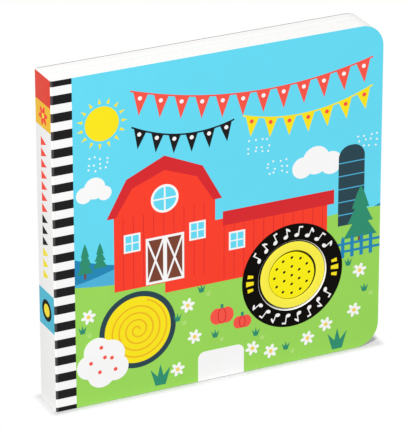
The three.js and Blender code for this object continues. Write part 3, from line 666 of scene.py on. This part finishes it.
def oval(x, z, wide, tall, turn=0.0, count=28):
    """An ellipse turned by so many degrees: half its width times cosine, and half its height times sine."""
    angle = np.linspace(0, 2 * np.pi, count, endpoint=False)
    flat_oval = np.stack([wide / 2 * np.cos(angle), tall / 2 * np.sin(angle)], 1)
    c, s = math.cos(math.radians(turn)), math.sin(math.radians(turn))
    return flat_oval @ np.array([[c, s], [-s, c]]) + (x, z)


bale_outline = ring(bale_x, bale_z, bale_radius + bale_line)
ink("print_bale_outline", [bale_outline], 6, slate_ink, node="print_bale_outline")
ink("print_bale", [ring(bale_x, bale_z, bale_radius)], 7, yellow_ink, node="print_bale")
wind = np.linspace(0, 2 * np.pi * coil_turns, 260)
reach = coil_start + coil_pitch * wind / (2 * np.pi)
coil = np.stack([bale_x + reach * np.cos(wind), bale_z + reach * np.sin(wind)], 1)
ink("print_bale_coil", [strip(coil, coil_line)], 8, amber_ink)
bush = [(19, 22, 7), (24, 30, 8), (31, 27, 8.5), (34, 19, 7.5), (26, 17, 8)]
ink("print_bush", puffs(bush), 9, white_ink, node="print_bush")
blossom_places = ((20, 24), (26, 32), (32, 25), (25, 18), (34, 18), (28, 26))
ink("print_blossoms", [ring(x, z, 1.1, 20) for x, z in blossom_places], 10, coral_ink)
pumpkins = [(96, 36, 13), (108, 30, 10)]
stalk_half, stalk_height = 0.8, 2.4
rib_turn = np.linspace(-1.4, 1.4, 16)
lobes, ribs, stalks = [], [], []
for x, z, size in pumpkins:
    lobes += [oval(x + side * size * 0.22, z, size * 0.62, size * 0.72) for side in (-1, 0, 1)]
    for side in (-1, 1):
        rib_x, rib_z = side * size * 0.17 * np.cos(rib_turn), size * 0.32 * np.sin(rib_turn)
        ribs.append(strip(np.stack([x + rib_x, z + rib_z], 1), 0.5))
    stalk_foot = z + size * 0.33
    stalks.append(rectangle(x - stalk_half, stalk_foot, x + stalk_half, stalk_foot + stalk_height))
ink("print_pumpkins", lobes, 5, coral_ink)
ink("print_pumpkin_ribs", ribs, 6, dark_red_ink)
ink("print_pumpkin_stalks", stalks, 6, pine_ink)

# Tab at the bottom edge: a plain white field with two round corners. It is flat ink on the laminated wrap,
# printed over the meadow down to the cover's lower edge.
tab_left, tab_right, tab_top, tab_radius = 82, 109, 17, 4
tab = domed(tab_left, margin, tab_right, tab_top, tab_radius, 12)
ink("print_tab", [tab], 6, white_ink, node="print_tab")

# Ring round the button's hole: black, with white music notes and short yellow wedges on it. It is flat ink
# on the laminated wrap, cut away with the board inside the hole.
ring_radius, mark_radius, mark_scale = 29.8, 25.2, 1.3
deep_black_ink = finish("deep_black_ink", "0C0906", roughness=0.5, gloss=0.03)
button_ring = ring(hole_x, hole_z, ring_radius, 128)
ink("print_button_ring", [button_ring], 8, deep_black_ink, [opening], "print_button_ring")


def round_the_ring(loop, degrees):
    """Turns a mark drawn upright about the origin, and sets it on the ring at an angle from its top."""
    turn = math.radians(degrees)
    spun = np.array([[math.cos(turn), -math.sin(turn)], [math.sin(turn), math.cos(turn)]])
    return (np.asarray(loop) * mark_scale + (0, mark_radius)) @ spun + (hole_x, hole_z)


note_head = oval(-0.7, -1.5, 2.2, 1.6, 20, 20)
note_stem = rectangle(-0.15, -1.5, 0.3, 2.3)
note_bar = rectangle(-0.15, 1.6, 1.7, 2.3)
note_flag = np.array([[0.1, 2.3], [0.1, 1.2], [1.5, 0.3], [1.7, 0.9], [1.1, 1.7]])
notes = [
    round_the_ring(mark, turn + base)
    for i, turn in enumerate(np.arange(-56, 57, 16))
    for base in (0, 180)
    for mark in (note_head, note_stem, note_flag if i % 2 else note_bar)
]
ink("print_ring_notes", notes, 9, white_ink)
wedge = np.array([[-0.75, -1.7], [0.75, -1.7], [1.15, 1.7], [-1.15, 1.7]])
wedges = [
    round_the_ring(wedge * share, base + turn)
    for base in (90, 270)
    for turn, share in ((-9, 0.75), (0, 1), (9, 0.75))
]
ink("print_ring_wedges", wedges, 9, yellow_ink)


# Flowers and grass: white daisies and small tufts, scattered over the meadow. They are flat ink on the
# laminated wrap, with the flowers printed over the grass.
def daisies(places, size):
    """Six oval petals round each middle, the first a little off the level."""
    petals = []
    for x, z in places:
        for turn in np.arange(12, 372, 60):
            a = math.radians(turn)
            petal_x, petal_z = x + size * 0.58 * math.cos(a), z + size * 0.58 * math.sin(a)
            petals.append(oval(petal_x, petal_z, size * 0.95, size * 0.5, turn, 16))
    return petals


def tufts(places, size):
    """Three pointed blades that lean out from one foot, the middle one the tallest."""
    blades = []
    for x, z in places:
        for lean in (-0.55, 0.0, 0.55):
            tip = [x + lean * size, z + size * (1.15 - abs(lean) * 0.4)]
            blades.append(np.array([[x - 0.28 * size, z], [x + 0.28 * size, z], tip]))
    return blades


pale_amber_ink = laminate("pale_amber_ink", "F9D667")
light_green_ink = laminate("light_green_ink", "B4E27A")
daisy_places = [
    (76, 46), (114, 13), (125, 9), (158, 18), (175, 23), (178, 46), (70, 10), (19, 51), (147, 12), (80, 27),
]
tuft_places = [(70, 38), (116, 20), (181, 33), (15.5, 42), (92, 24), (171, 50), (134, 8), (84, 52)]
light_places = [(x + 4, z - 3) for x, z in tuft_places]
ink("print_daisies", daisies(daisy_places, 4.0), 8, white_ink)
ink("print_daisy_middles", [ring(x, z, 1.15, 20) for x, z in daisy_places], 9, pale_amber_ink)
ink("print_tufts", tufts(tuft_places, 4.2), 7, pine_ink)
ink("print_tall_tufts", tufts([(60, 3), (165, 2)], 10.5), 7, pine_ink)
ink("print_light_tufts", tufts(light_places, 3.0), 6, light_green_ink)

# Spine: a board as wide as the book is thick, in the same wrap. The wrap turns round both long corners with
# a small radius, and its stripes run on from the front cover. On the rounded front corner their black is
# painted a lighter grey, as a highlight along the fold.
spine_thickness = 1.2
spine_radius = 0.9
spine_face = laminate("spine_print", "F0F0EF")
nodes, links = spine_face.node_tree.nodes, spine_face.node_tree.links
spine_place = next(n for n in nodes if n.type == "TEX_COORD")
axes = nodes.new("ShaderNodeSeparateXYZ")
links.new(spine_place.outputs["Object"], axes.inputs["Vector"])


def math_node(operation, first, second):
    """A maths node with two inputs, each a socket or a number."""
    node = nodes.new("ShaderNodeMath")
    node.operation = operation
    for socket, value in zip(node.inputs, (first, second)):
        if isinstance(value, (int, float)):
            socket.default_value = value
        else:
            links.new(value, socket)
    return node.outputs[0]


bands = nodes.new("ShaderNodeValToRGB")
bands.color_ramp.interpolation = "CONSTANT"
band_marks = ((0, "F9F9F8"), (44, "48BCD8"), (65, "F9F9F8"), (156.4, "F8C420"), (170.1, "E8381F"))
links.new(math_node("DIVIDE", axes.outputs["Z"], float(book_height * MM)), bands.inputs["Fac"])
for place_up, color in band_marks[2:]:
    bands.color_ramp.elements.new(place_up / book_height)
for element, (place_up, color) in zip(bands.color_ramp.elements, band_marks):
    element.position = place_up / book_height
    element.color = linear(color)
phase_up = math_node("ADD", axes.outputs["Z"], float(stripe_half * MM))
within = math_node("FRACT", math_node("DIVIDE", phase_up, stripe_pitch * MM), 0)
is_black = math_node("LESS_THAN", within, black_share)
is_front = math_node("LESS_THAN", axes.outputs["Y"], float(cad_low.y + spine_radius * 0.75 * MM))
# The stripes' black on the fold is a lighter grey: a painted highlight on the rounded corner.
fold_stripes_painted_highlight = nodes.new("ShaderNodeMix")
fold_stripes_painted_highlight.data_type = "RGBA"
fold_stripes_painted_highlight.inputs["A"].default_value = linear("FBFBF9")
fold_stripes_painted_highlight.inputs["B"].default_value = linear("464446")
links.new(is_black, fold_stripes_painted_highlight.inputs["Factor"])
fold_color = nodes.new("ShaderNodeMix")
fold_color.data_type = "RGBA"
links.new(is_front, fold_color.inputs["Factor"])
links.new(bands.outputs["Color"], fold_color.inputs["A"])
links.new(fold_stripes_painted_highlight.outputs["Result"], fold_color.inputs["B"])
links.new(fold_color.outputs["Result"], nodes["Principled BSDF"].inputs["Base Color"])

section = np.vstack([
    [[spine_thickness, 0]],
    arc(spine_radius, spine_radius, spine_radius, 270, 180, 10),
    arc(spine_radius, book_depth - spine_radius, spine_radius, 180, 90, 10),
    [[spine_thickness, book_depth]],
])
count = len(section)
spine_points = np.vstack([
    np.column_stack([section, np.full(count, level_up)]) for level_up in (0.0, book_height)
])
along = np.arange(count)
following = np.roll(along, -1)
sides = np.stack([along, along + count, following + count, following], 1)
spine_faces = [*sides.tolist(), along.tolist(), (along[::-1] + count).tolist()]
spine_kinds = [0] * (count - 1) + [1, 1, 1]
spine_flat = [0] * count + [1, 1]
spine = add_mesh("spine", spine_points, spine_faces, [spine_face, board_edge], spine_kinds, spine_flat)
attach(spine, "book_block")
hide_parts("spine_board", "spine_red_block", "spine_yellow_block", "spine_cyan_block")


# Spine print: a black ring with a yellow dot, a small flower and a column of pennants. They are flat ink on
# the laminated wrap, where it covers the spine board.
def spine_ink(name, loops, layer, material, holes=(), node=None):
    """Ink on the spine's outer face. Outlines are depth from the back and height, as seen from the left."""
    flat_points, triangles = flat_fill(loops, holes)
    total = len(flat_points)
    stand = np.full(total, -layer * ink_step)
    near = np.stack([stand, book_depth - flat_points[:, 0], flat_points[:, 1]], 1)
    far = near + (layer * ink_step + ink_sunk, 0, 0)
    piece = add_mesh(name, np.vstack([near, far]), plate_faces(triangles, total), [material])
    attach(piece, "book_block")
    if node:
        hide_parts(node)


spine_middle = book_depth / 2
mark_z, mark_outer, mark_inner = 54.5, 6, 3.6
mark_opening = ring(spine_middle, mark_z, mark_inner, 64, hole=True)
mark_ring = ring(spine_middle, mark_z, mark_outer, 64)
spine_ink("spine_ring_print", [mark_ring], 1, deep_black_ink, [mark_opening], "spine_ring")
spine_ink("spine_dot_print", [ring(spine_middle, mark_z, mark_inner, 64)], 1, yellow_ink, node="spine_dot")
flower_z = 163.7
spine_ink("spine_flower", daisies([(spine_middle, flower_z)], 5.2), 1, red_ink)
spine_ink("spine_flower_middle", [ring(spine_middle, flower_z, 1.5, 24)], 2, yellow_ink)
pennant_left, pennant_tip = spine_middle - 3.4, spine_middle + 3.6
pennants = [
    np.array([[pennant_left, z], [pennant_tip, z + 2.5], [pennant_left, z + 5]])
    for z in np.arange(72, 150, 6.2)
]
for color_name, material, start, end in (
    ("yellow", yellow_ink, 0, 3),
    ("black", deep_black_ink, 3, 6),
    ("red", red_ink, 6, 13),
):
    spine_ink(f"spine_pennants_{color_name}", pennants[start:end], 1, material)

# Leaves: five thick boards, printed on both sides and glued together at the gutter. The front cover's die cut
# runs on through all of them at the same size.
leaf_count = 5
pages_front, pages_rear = 2.28, 11.1
leaf_pitch = (pages_rear - pages_front) / leaf_count
leaf_gap, leaf_edge, gutter_gap = 0.02, 0.03, 0.02
page_print = laminate("page_print", "A5DC68")
page_sky = laminate("page_sky_print", "8FE2F5")
for i in range(leaf_count):
    front = pages_front + i * leaf_pitch
    rear = front + leaf_pitch - leaf_gap
    leaf = board(
        f"leaf_{i + 1}", [leaf_outline(spine_thickness + gutter_gap), hole], front, rear, [leaf_edge] * 2,
        [page_print if i == 0 else page_sky, board_edge, page_sky],
    )
    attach(leaf, "book_block")
    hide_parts("page_block")

# Back block: a printed liner on a deep core board with a pocket for the sound module, and the back board
# behind, with the module's battery door let into it. The three are glued to one another.
block_front, core_front, core_rear = 11.3, 12.3, 18.9
glue_gap, core_edge = 0.01, 0.02
pocket_half, pocket_below, pocket_above, pocket_radius = 29.3, 23.3, 69.3, 4.3
door_half_width, door_half_height, door_tab, cells_up = 20.5, 7.5, 6.4, 56
door_gap, door_corner = 0.3, 2.3


def rounded_hole(left, bottom, right_edge, top, radius):
    """A rectangular hole with four quarter circles at its corners, clockwise."""
    points = np.vstack([
        arc(right_edge - radius, bottom + radius, radius, 270, 360, 9),
        arc(right_edge - radius, top - radius, radius, 0, 90, 9),
        arc(left + radius, top - radius, radius, 90, 180, 9),
        arc(left + radius, bottom + radius, radius, 180, 270, 9),
    ])
    return points[::-1]


liner = board(
    "liner", [leaf_outline(cover_left), hole], block_front, core_front, [soft_edge] * 2,
    [sky_print, board_edge, board_edge],
)
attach(liner, "back_cover")
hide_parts("liner_sheet")
pocket = rounded_hole(
    hole_x - pocket_half, hole_z - pocket_below, hole_x + pocket_half, hole_z + pocket_above, pocket_radius
)
core = board(
    "core_board", [leaf_outline(cover_left), pocket], core_front + glue_gap, core_rear - glue_gap,
    [core_edge] * 2, [board_edge] * 3,
)
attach(core, "back_cover")
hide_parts("block_core")
doorway = rounded_hole(
    hole_x - door_half_width - door_gap,
    hole_z + cells_up - door_half_height - door_gap,
    hole_x + door_half_width + door_tab + door_gap,
    hole_z + cells_up + door_half_height + door_gap,
    door_corner,
)
# The back board's rim turns grey over its last millimetre towards the rear face: painted shade along the rear
# edge.
back_rim_painted_shade = cut_board("back_rim_painted_shade", "FAF9F7")
nodes, links = back_rim_painted_shade.node_tree.nodes, back_rim_painted_shade.node_tree.links
rim_axes = nodes.new("ShaderNodeSeparateXYZ")
links.new(next(n for n in nodes if n.type == "TEX_COORD").outputs["Object"], rim_axes.inputs["Vector"])
rim_shade_fade = nodes.new("ShaderNodeMapRange")
rim_shade_fade.interpolation_type = "SMOOTHSTEP"
rim_shade_fade.inputs["From Min"].default_value = float(cad_high.y - 1.1 * MM)
rim_shade_fade.inputs["From Max"].default_value = float(cad_high.y - 0.2 * MM)
rim_shade_color = nodes.new("ShaderNodeMix")
rim_shade_color.data_type = "RGBA"
rim_shade_color.inputs["B"].default_value = linear("6E6E72")
shader_color = nodes["Principled BSDF"].inputs["Base Color"]
links.new(shader_color.links[0].from_socket, rim_shade_color.inputs["A"])
links.new(rim_axes.outputs["Y"], rim_shade_fade.inputs["Value"])
links.new(rim_shade_fade.outputs["Result"], rim_shade_color.inputs["Factor"])
links.new(rim_shade_color.outputs["Result"], shader_color)
back_board = board(
    "back_board", [leaf_outline(cover_left), doorway], core_rear, book_depth, [soft_edge] * 2,
    [board_edge, back_rim_painted_shade, sky_print],
)
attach(back_board, "back_cover")
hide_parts("back_cover_board", "back_cover_print")

# Back print: a low meadow with daisies and tufts, and two clouds. They are flat ink on the laminated wrap of
# the back board, like the print of the front.
back_daisies = [(30, 22), (58, 34), (90, 18), (124, 30), (150, 14), (172, 30), (44, 12), (108, 12)]
back_tufts = [(24, 14), (70, 22), (100, 28), (138, 20), (164, 22)]
back_clouds = [(40, 150, 7), (50, 154, 9), (61, 150, 7.5), (112, 160, 6), (120, 163, 8), (129, 160, 6)]
ink("back_meadow", [ground(height=46, swell=6, waves=0.9, phase=1.2)], 1, green_ink, side="back")
ink("back_daisies", daisies(back_daisies, 3.1), 2, white_ink, side="back")
ink("back_daisy_middles", [ring(x, z, 0.95, 20) for x, z in back_daisies], 3, amber_ink, side="back")
ink("back_tufts", tufts(back_tufts, 4.2), 2, pine_ink, side="back")
ink("back_clouds", puffs(back_clouds), 1, white_ink, side="back")

# Sound module: moulded plastic and small metal parts, snapped and screwed together in the pocket. They keep
# the solids' own forms and take a finish each: colour, roughness, gloss, tone, its scale, bump, its scale.
yellow_plastic = finish("pale_yellow_plastic", "FFF248", 0.42, 0.25, 0.01, 90, 0.03, 1800)
button_plastic = finish("bright_yellow_plastic", "FFF200", 0.38, 0.2, 0.01, 90, 0.03, 1800)
white_plastic = finish("white_plastic", "F4F4F2", 0.4, 0.3, 0.01, 90, 0.03, 1500)
grey_plastic = finish("grey_plastic", "34505A", 0.5, 0.3, 0.02, 90, 0.04, 1200)
black_plastic = finish("black_plastic", "17181A", 0.45, 0.3, 0.03, 90, 0.03, 1200)
red_plastic = finish("red_plastic", "C8201C", 0.4, 0.35, 0.02, 90, 0.02, 1200)
green_board = finish("circuit_green", "1B6B45", 0.35, 0.4, 0.06, 400, 0.05, 700)
cone_paper = finish("cone_paper", "242629", 0.85, 0.1, 0.08, 500, 0.2, 1500)
ceramic_body = finish("capacitor_ceramic", "8C613A", 0.5, 0.3, 0.04, 300, 0.03, 900)
steel = finish("plated_steel", "B9BCC0", 0.32, 0.5, 0.04, 250, 0.05, 700)
steel.node_tree.nodes["Principled BSDF"].inputs["Metallic"].default_value = 1.0

module_finishes = {
    # The shell is black as painted shade: it darkens the gaps round the turret and the button.
    "module_shell": black_plastic,
    "module_tray": grey_plastic,
    "switch_plunger": black_plastic,
    "speaker_frame": steel,
    "speaker_cone": cone_paper,
    "speaker_magnet": steel,
    "circuit_board": green_board,
    "tact_switch": black_plastic,
    "sound_chip": black_plastic,
    "capacitor": ceramic_body,
    "speaker_lead_left": black_plastic,
    "speaker_lead_right": red_plastic,
    "contact_strip_long": steel,
    "contact_strip_short": steel,
    "battery_door": white_plastic,
    "door_screw": steel,
}
module_finishes.update({f"button_cell_{i}": steel for i in (1, 2, 3)})
module_finishes.update({f"housing_screw_{i}": steel for i in (1, 2, 3, 4)})
for node_name, material in module_finishes.items():
    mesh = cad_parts[node_name].data
    mesh.materials.clear()
    mesh.materials.append(material)

# Turret: the pale ring that stands in the die-cut hole round the button, with soft inner and outer rims, and
# sits a little off the hole's middle. Only its front is pale: its rims and walls are black from just behind
# the front, as painted shade for the gaps round the turret and the cap.
module_x, module_z = hole_x + 0.55, hole_z - 0.1
turret_front, turret_rear = 0.75, 2.5
turret_radius, guide_radius = 19.3, 14.0
outer_rim, inner_rim, rim_points = 0.4, 0.3, 6
outer_shade_start, inner_shade_start = 0.02, 0.25


def turned(name, profile, materials, x, z, segments=128, kinds=None):
    """A closed profile of radius and depth turned about an axis through x and z: radius times cosine and
    sine. Kinds give the material of each of the profile's sides."""
    profile = np.asarray(profile, float)
    turn = np.linspace(0, 2 * np.pi, segments, endpoint=False)
    radius, depth = profile[:, 0], profile[:, 1]
    width = len(profile)
    points = np.stack([
        x + radius[None, :] * np.cos(turn)[:, None],
        np.broadcast_to(depth[None, :], (segments, width)),
        z + radius[None, :] * np.sin(turn)[:, None],
    ], -1).reshape(-1, 3)
    i, j = np.meshgrid(np.arange(segments), np.arange(width), indexing="ij")
    here, there = i * width, (i + 1) % segments * width
    following = (j + 1) % width
    quads = np.stack([here + j, here + following, there + following, there + j], -1).reshape(-1, 4)
    obj = add_mesh(name, points, quads.tolist(), materials, flat=np.zeros(len(quads), bool))
    if kinds is not None:
        obj.data.polygons.foreach_set("material_index", np.tile(kinds, segments).astype(np.int32))
    return obj


turret_profile = np.vstack([
    arc(guide_radius + inner_rim, turret_front + inner_rim, inner_rim, 180, 270, rim_points),
    arc(turret_radius - outer_rim, turret_front + outer_rim, outer_rim, 270, 360, rim_points),
    [[turret_radius, turret_rear]],
    [[guide_radius, turret_rear]],
])
# The black on the rims and walls behind the front face is painted shade.
is_outer = turret_profile[:, 0] > turret_radius - outer_rim - 0.1
shade_from = turret_front + np.where(is_outer, outer_shade_start, inner_shade_start)
painted_shade_sides = (turret_profile[:, 1] > shade_from).astype(int)
turret_materials = [yellow_plastic, black_plastic]
turret = turned("turret", turret_profile, turret_materials, module_x, module_z, kinds=painted_shade_sides)
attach(turret, "back_cover")

# Button cap: a bright disc with nineteen sound holes and a soft rim, on a skirt that slides in the turret,
# with a black dust cloth behind the holes. The skirt's flange behind the shell keeps it in.
cap_x, cap_z = module_x - 0.35, module_z - 0.35
cap_radius, cap_front, cap_thickness, cap_edge = 13.4, 0.7, 0.8, 0.35
grille_pitch, sound_hole, sound_hole_edge = 5.15, 0.9, 0.12
cloth_radius, cloth_gap, cloth_rear, cloth_edge = 12.2, 0.02, 0.3, 0.05
places = [(0.0, 0.0)]
for ring_number in (1, 2):
    turns = np.pi / 2 + np.linspace(0, 2 * np.pi, ring_number * 6, endpoint=False)
    ring_reach = ring_number * grille_pitch
    places.extend(zip(ring_reach * np.cos(turns), ring_reach * np.sin(turns)))
holes = [ring(cap_x + x, cap_z + z, sound_hole, 24, hole=True) for x, z in places]
cap_rear = cap_front + cap_thickness
cap = board(
    "button_disc", [ring(cap_x, cap_z, cap_radius, 128), *holes], cap_front, cap_rear,
    [cap_edge] + [sound_hole_edge] * len(holes), [button_plastic] * 3,
)
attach(cap, "sound_button")
cloth = board(
    "grille_cloth", [ring(cap_x, cap_z, cloth_radius, 64)], cap_rear + cloth_gap, cap_rear + cloth_rear,
    [cloth_edge], [cone_paper] * 3,
)
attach(cloth, "sound_button")
skirt_inner, skirt_outer, skirt_sunk = 12.3, 13.1, 0.3
flange_front, flange_rear, flange_radius = 6.0, 7.2, 16.3
skirt = turned("button_skirt", [
    [skirt_inner, cap_rear - skirt_sunk],
    [skirt_outer, cap_rear - skirt_sunk],
    [skirt_outer, flange_front],
    [flange_radius, flange_front],
    [flange_radius, flange_rear],
    [skirt_inner, flange_rear],
], [button_plastic], cap_x, cap_z)
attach(skirt, "sound_button")
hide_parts("button_cap")
